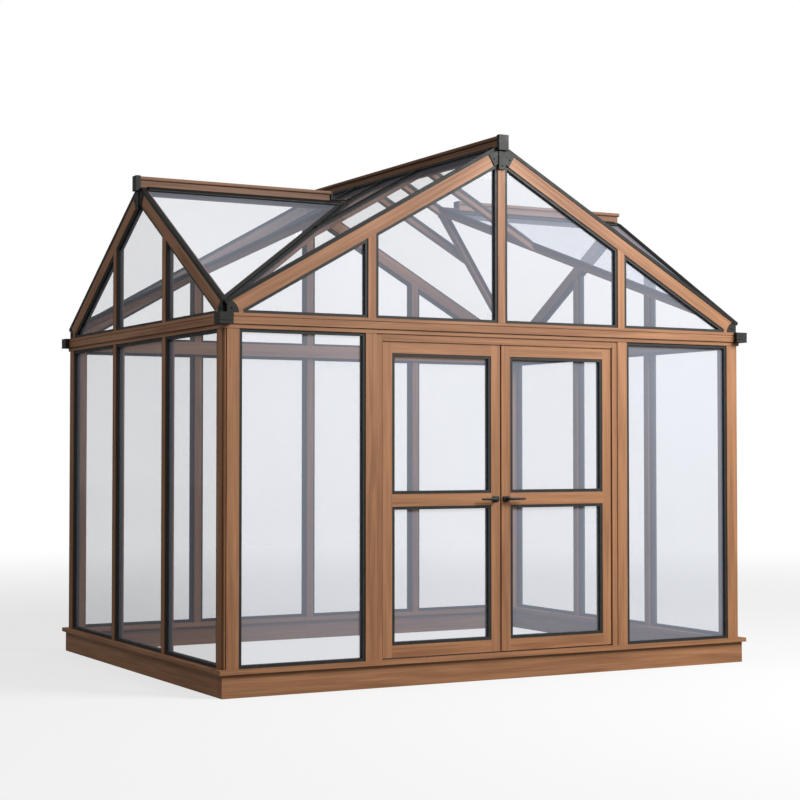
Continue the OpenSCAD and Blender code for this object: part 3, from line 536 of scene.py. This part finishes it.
VERGE_ANGLE = np.array([
    [-0.027, 0], [0.001, 0], [0.001, -0.0175], [0.003, -0.0175],
    [0.003, 0.003], [-0.024, 0.003], [-0.027, 0.001],
])
VERGE_TOP = 0.040
VERGE_FOOT = 0.012
starts, up = main_slope(signs[:, 0] * VERGE_TOP, signs[:, 1] * post_face.y)
ends = main_slope(signs[:, 0] * (post_face.x - VERGE_FOOT), signs[:, 1] * post_face.y)[0]
straight_bars("main_verge_angles", starts, ends, section_rings(VERGE_ANGLE, signs[:, 1:] * (0, 1, 0), up))
starts, up = side_slope(signs[:, 0] * post_face.x, signs[:, 1] * VERGE_TOP)
ends = side_slope(signs[:, 0] * post_face.x, signs[:, 1] * (post_face.y - VERGE_FOOT))[0]
straight_bars("side_verge_angles", starts, ends, section_rings(VERGE_ANGLE, signs[:, :1] * (1, 0, 0), up))

RIDGE_STRIP = np.array([
    [-0.003, 0], [0.042, 0], [0.042, -0.005], [0.045, -0.005],
    [0.045, 0.003], [0.041, 0.007], [-0.003, 0.007],
])
STRIP_PAST_SADDLE = 0.075
ridge_end = post_face.y - VERGE_TOP
ridge_sides = np.array([-1, 1])
starts, up = main_slope(ridge_sides * RIDGE_EDGE, -ridge_end)
ends = main_slope(ridge_sides * RIDGE_EDGE, ridge_end)[0]
down = np.cross((0, 1, 0), up)
down *= np.sign(down[:, :1] * ridge_sides[:, None])
straight_bars("main_ridge_strips", starts, ends, section_rings(RIDGE_STRIP, down, up))
starts, up = side_slope(signs[:, 0] * (saddle + STRIP_PAST_SADDLE), signs[:, 1] * RIDGE_EDGE)
ends = side_slope(signs[:, 0] * (post_face.x - VERGE_TOP), signs[:, 1] * RIDGE_EDGE)[0]
down = np.cross((1, 0, 0), up)
down *= np.sign(down[:, 1:2] * signs[:, 1:])
straight_bars("side_ridge_strips", starts, ends, section_rings(RIDGE_STRIP, down, up))

VALLEY_WING = 0.010
VALLEY_LIFT = 0.0004
VALLEY_SHEET = 0.0016
VALLEY_FOOT = 0.12
VALLEY_HEAD = 0.06
foot_z = side_ridge_z - post_face.y * math.tan(side_pitch)
foot = np.column_stack([signs * (post_face.x, post_face.y), np.full(4, foot_z)])
head = np.column_stack([signs * (saddle, 0), np.full(4, side_ridge_z)])
run = head - foot
run /= np.linalg.norm(run, axis=1, keepdims=True)
main_up = main_slope(signs[:, 0], signs[:, 1])[1]
side_up = side_slope(signs[:, 0], signs[:, 1])[1]
main_wing = np.cross(main_up, run)
main_wing *= np.sign(main_wing[:, 1:2] * signs[:, 1:])
side_wing = np.cross(side_up, run)
side_wing *= np.sign(side_wing[:, :1] * signs[:, :1])
crease = (main_up + side_up) / (1 + (main_up * side_up).sum(axis=1, keepdims=True))
lifts = np.array([VALLEY_LIFT, VALLEY_LIFT + VALLEY_SHEET])[:, None, None]
main_edge = main_wing * VALLEY_WING + main_up * lifts
side_edge = side_wing * VALLEY_WING + side_up * lifts
fold_line = crease * lifts
under = [main_edge[0], fold_line[0], side_edge[0]]
over = [side_edge[1], fold_line[1], main_edge[1]]
valley_rings = np.stack(under + over, axis=1)
straight_bars("valley_strips", foot + VALLEY_FOOT * run, head - VALLEY_HEAD * run, valley_rings)

# Doors: framed leaves of the same stained timber. The rails are tenoned between the stiles, with a light
# above and a light below the middle rail.
LEAF_CELL = 2.4
RAIL_CELL = 0.5
timber_door_upright = timber("timber_door_upright", (0, 0, 1), (BOARD_CELL, BOARD_CELL, WHOLE))
timber_door_rail = timber("timber_door_rail", (1, 0, 0), (LEAF_CELL, BOARD_CELL, RAIL_CELL))
dress(timber_door_upright, "left_door_stiles", "right_door_stiles")
dress(timber_door_rail, "left_door_rails", "right_door_rails")

# Door head bead: a slim strip of the stained timber, planted along the door head in front of the leaves. Its
# lower front edge is eased, and it covers the gap over the leaves.
BEAD_DROP = 0.009
BEAD_THICK = 0.007
BEAD_EASE = 0.002
BEAD_BACK = 0.0006
DOOR_BEAD = np.array([
    [0, 0], [BEAD_THICK, 0], [BEAD_THICK, -BEAD_DROP], [BEAD_EASE, -BEAD_DROP], [0, BEAD_EASE - BEAD_DROP],
])
head_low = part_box("door_head")[0]
bead_end = np.array([[-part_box("left_door_stiles")[0].x, head_low.y + BEAD_BACK, head_low.z]])
bead_ring = section_rings(DOOR_BEAD, np.array([[0, 1, 0]]), np.array([[0, 0, 1]]))
straight_bars("door_head_bead", bead_end * (-1, 1, 1), bead_end, bead_ring, timber_across)

# Butt hinges: steel plates on the inner faces of the leaves and the jambs, under the charcoal coat. Three
# hang each leaf, with two screws in each plate.
HINGE_SCREW = 0.0045
HALF_FLAP = 0.039
FLAP_THICK = 0.003
FLAP_SCREW_IN = 0.017
FLAP_SCREW_RISE = 0.024
dress(charcoal_coat, "left_door_hinges", "right_door_hinges", "jamb_hinges")
low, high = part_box("jamb_hinges")
lever_z = sum(corner.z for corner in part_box("left_door_roses")) / 2
hinge_heights = np.array([low.z + HALF_FLAP, lever_z, high.z - HALF_FLAP])
screw_heights = (hinge_heights[:, None] + FLAP_SCREW_RISE * np.array([-1, 1])).ravel()
flap_face = np.full(6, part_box("left_door_stiles")[1].y + FLAP_THICK)
for side, sx in (("left", -1), ("right", 1)):
    leaf_edge = min(abs(corner.x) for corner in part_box(f"{side}_door_hinges"))
    leaf_column = np.full(6, sx * (leaf_edge + FLAP_SCREW_IN))
    jamb_column = np.full(6, sx * (high.x - FLAP_SCREW_IN))
    heads = np.column_stack([leaf_column, flap_face, screw_heights])
    button_screws(f"{side}_leaf_hinge_screws", heads, (0, 1, 0), HINGE_SCREW, f"{side}_door")
    heads = np.column_stack([jamb_column, flap_face, screw_heights])
    button_screws(f"{side}_jamb_hinge_screws", heads, (0, 1, 0), HINGE_SCREW, "frame")

# Lever sets: a cast lever on each face of a leaf, turning on one spindle through rounded roses. Each lever
# rises round from the rose, bends and runs out flat to a rounded tip, under the charcoal coat.
BEND = 0.014
LEVER_REACH = 0.118
LEVER_OUT = 0.036
LEVER_FOOT = 0.0012
NECK = 0.008
BAR_HALVES = np.array([0.0092, 0.006])
TIP_HALVES = np.array([0.0058, 0.0046])
TIP = 0.006
LEVER_ROUND = 2.6


def lever_shape():
    """Rows of [along, out, half height, half thickness]: a straight neck, a quarter bend, then a tapered bar.

    The tip closes as an ellipse does: its half sizes fall as the root of one less the square of the way in.
    """
    neck_out = np.linspace(LEVER_FOOT, LEVER_OUT - BEND, 6)
    neck = np.column_stack([0 * neck_out, neck_out, 0 * neck_out + NECK, 0 * neck_out + NECK])
    angle = np.linspace(0, math.pi / 2, 10)[1:]
    ease = (angle[:, None] / angle[-1]) ** 2
    round_out = LEVER_OUT - BEND + BEND * np.sin(angle)
    bend = np.column_stack([BEND * (1 - np.cos(angle)), round_out, NECK + (BAR_HALVES - NECK) * ease])
    way = np.linspace(0, 1, 15)[1:, None]
    bar_along = BEND + way * (LEVER_REACH - BEND - TIP)
    bar = np.column_stack([bar_along, LEVER_OUT + 0 * way, BAR_HALVES + (TIP_HALVES - BAR_HALVES) * way])
    into = np.sin(np.linspace(0, math.pi / 2, 7)[1:, None])
    tip_along = LEVER_REACH - TIP + TIP * into
    tip = np.column_stack([tip_along, LEVER_OUT + 0 * into, TIP_HALVES * np.sqrt(1 - into**2)])
    foot = neck[:1] * (1, 1, 0, 0)
    return np.concatenate([foot, neck, bend, bar, tip])


def rounded(angle, power):
    """Unit superellipse: the cosine and the sine of an angle, each with its size raised to 2 / power."""
    return tuple(np.sign(f(angle)) * np.abs(f(angle)) ** (2 / power) for f in (np.cos, np.sin))


ROSE_ROWS = np.array([[0, 0], [1, 0], [1, 0.55], [0.975, 0.8], [0.91, 0.95], [0.84, 1.0], [0, 1], [0, 0]])
ROSE_BORE = 0.0082
ROSE_RISE = 0.008
ROSE_ROUND = 5.0
turn = np.linspace(0, 2 * math.pi, 48, endpoint=False)
for side, sx in (("left", -1), ("right", 1)):
    low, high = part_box(f"{side}_door_roses")
    middle = (low + high) / 2
    leaf_low, leaf_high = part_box(f"{side}_door_stiles")
    faces = np.array([[leaf_low.y, -1.0], [leaf_high.y, 1.0]])
    shape = lever_shape()
    step = np.gradient(shape[1:, :2], axis=0)
    step = np.concatenate([step[:1], step])
    step /= np.linalg.norm(step, axis=1, keepdims=True)
    thick, tall = rounded(turn[::2], LEVER_ROUND)
    along = shape[:, :1] - step[:, 1:] * shape[:, 3:] * thick
    out = shape[:, 1:2] + step[:, :1] * shape[:, 3:] * thick
    up = shape[:, 2:3] * tall
    lever = np.stack([
        np.stack([middle.x + sx * along, face + outward * out, middle.z + up], -1)
        for face, outward in faces
    ])
    made = new_piece(f"{side}_cast_lever", lever, charcoal_coat, f"{side}_lever")
    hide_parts(f"{side}_door_lever")
    wide, high_part = rounded(turn, ROSE_ROUND)
    grown, raised = ROSE_ROWS[:, :1], ROSE_ROWS[:, 1:]
    in_bore = grown == 0
    plate_x = np.where(in_bore, ROSE_BORE * np.cos(turn), grown * (high.x - low.x) / 2 * wide)
    plate_z = np.where(in_bore, ROSE_BORE * np.sin(turn), grown * (high.z - low.z) / 2 * high_part)
    rise = ROSE_RISE * raised + 0 * turn
    rose = np.stack([
        np.stack([middle.x + plate_x, face + outward * rise, middle.z + plate_z], -1)
        for face, outward in faces
    ])
    made = new_piece(f"{side}_rounded_roses", rose, charcoal_coat, f"{side}_door")
    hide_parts(f"{side}_door_roses")

# Studio: a pale floor that runs out to white, and a white surround. Three soft lamps light the house, the
# main one from the front right, and the camera stands at the photograph's place.
FLOOR_RADIUS = 60.0
FLOOR_RINGS = 48
FLOOR_STEPS = 96
FLOOR_NEAR = (0.145, 0.145, 0.145, 1.0)
FLOOR_FAR = (0.0, 0.0, 0.0, 1.0)
FADE_SPAN = (3.5, 14.0)
GLOW_NEAR = 0.695
GLOW_FAR = 1.0
GLOW_BOUNCED = 0.1
WHITE = (1.0, 1.0, 1.0, 1.0)
rings = np.linspace(0, 1, FLOOR_RINGS + 1)[:, None] ** 2 * FLOOR_RADIUS
angles = np.linspace(0, 2 * math.pi, FLOOR_STEPS + 1)[None, :-1]
disc = np.stack([rings * np.cos(angles), rings * np.sin(angles), 0 * rings * angles], -1).reshape(-1, 3)
ring, step = np.meshgrid(np.arange(FLOOR_RINGS), np.arange(FLOOR_STEPS), indexing="ij")
near, far, after = ring * FLOOR_STEPS, (ring + 1) * FLOOR_STEPS, (step + 1) % FLOOR_STEPS
corners = np.stack([near + step, far + step, far + after, near + after], -1).reshape(-1, 4)
floor_mesh = bpy.data.meshes.new("floor")
floor_mesh.from_pydata(disc.tolist(), [], corners.tolist())
floor = bpy.data.objects.new("floor", floor_mesh)
bpy.context.scene.collection.objects.link(floor)
floor_paint, tree, surface = new_material("pale_floor")
place = shader_node(tree, "ShaderNodeTexCoord").outputs["Object"]
reach = shader_node(tree, "ShaderNodeVectorMath", joins={0: place}, operation="LENGTH").outputs["Value"]
fade = ranged(tree, reach, FADE_SPAN, (0, 1), interpolation_type="SMOOTHSTEP")
glow = ranged(tree, fade, (0, 1), (GLOW_NEAR, GLOW_FAR))
seen = shader_node(tree, "ShaderNodeLightPath").outputs["Is Camera Ray"]
glow = shader_node(tree, "ShaderNodeMix", {2: GLOW_BOUNCED}, {0: seen, 3: glow}, data_type="FLOAT").outputs[0]
tree.links.new(mixed_colour(tree, fade, FLOOR_NEAR, FLOOR_FAR), surface.inputs["Base Color"])
tree.links.new(glow, surface.inputs["Emission Strength"])
surface.inputs["Emission Color"].default_value = WHITE
surface.inputs["Roughness"].default_value = 0.9
surface.inputs["Specular IOR Level"].default_value = 0.0
floor_mesh.materials.append(floor_paint)

WORLD_SEEN = 1.0
WORLD_FILL = 0.38
world = bpy.data.worlds.new("studio")
bpy.context.scene.world = world
world.use_nodes = True
tree = world.node_tree
surround = tree.nodes["Background"]
seen = shader_node(tree, "ShaderNodeLightPath").outputs["Is Camera Ray"]
surround.inputs["Color"].default_value = WHITE
tree.links.new(ranged(tree, seen, (0, 1), (WORLD_FILL, WORLD_SEEN)), surround.inputs["Strength"])


def soft_lamp(name, place, aim, size, power):
    """A square studio lamp at a place, turned to an aim point."""
    lamp = bpy.data.lights.new(name, "AREA")
    lamp.shape = "SQUARE"
    lamp.size = size
    lamp.energy = power
    made = bpy.data.objects.new(name, lamp)
    made.location = place
    made.rotation_euler = (Vector(aim) - Vector(place)).to_track_quat("-Z", "Y").to_euler()
    bpy.context.scene.collection.objects.link(made)


soft_lamp("key_lamp", (7.0, -8.5, 8.0), (0, 0, 1.4), 6.0, 1750.0)
soft_lamp("top_lamp", (3.0, -5.5, 5.0), (0.4, 0, 2.3), 2.5, 430.0)
soft_lamp("left_lamp", (-6.0, -2.0, 7.5), (0, 0, 2.5), 3.0, 165.0)

camera = bpy.data.cameras.new("camera")
camera.sensor_width = 36.0
camera.lens = 79.855
camera.clip_end = 200.0
camera_stand = bpy.data.objects.new("camera", camera)
camera_stand.location = (-5.592, -10.317, 1.349)
camera_stand.rotation_euler = (math.radians(91.65), 0, math.radians(-28.634))
bpy.context.scene.collection.objects.link(camera_stand)
bpy.context.scene.camera = camera_stand
bpy.context.scene.view_settings.view_transform = "Standard"
bpy.context.scene.cycles.transparent_max_bounces = 48
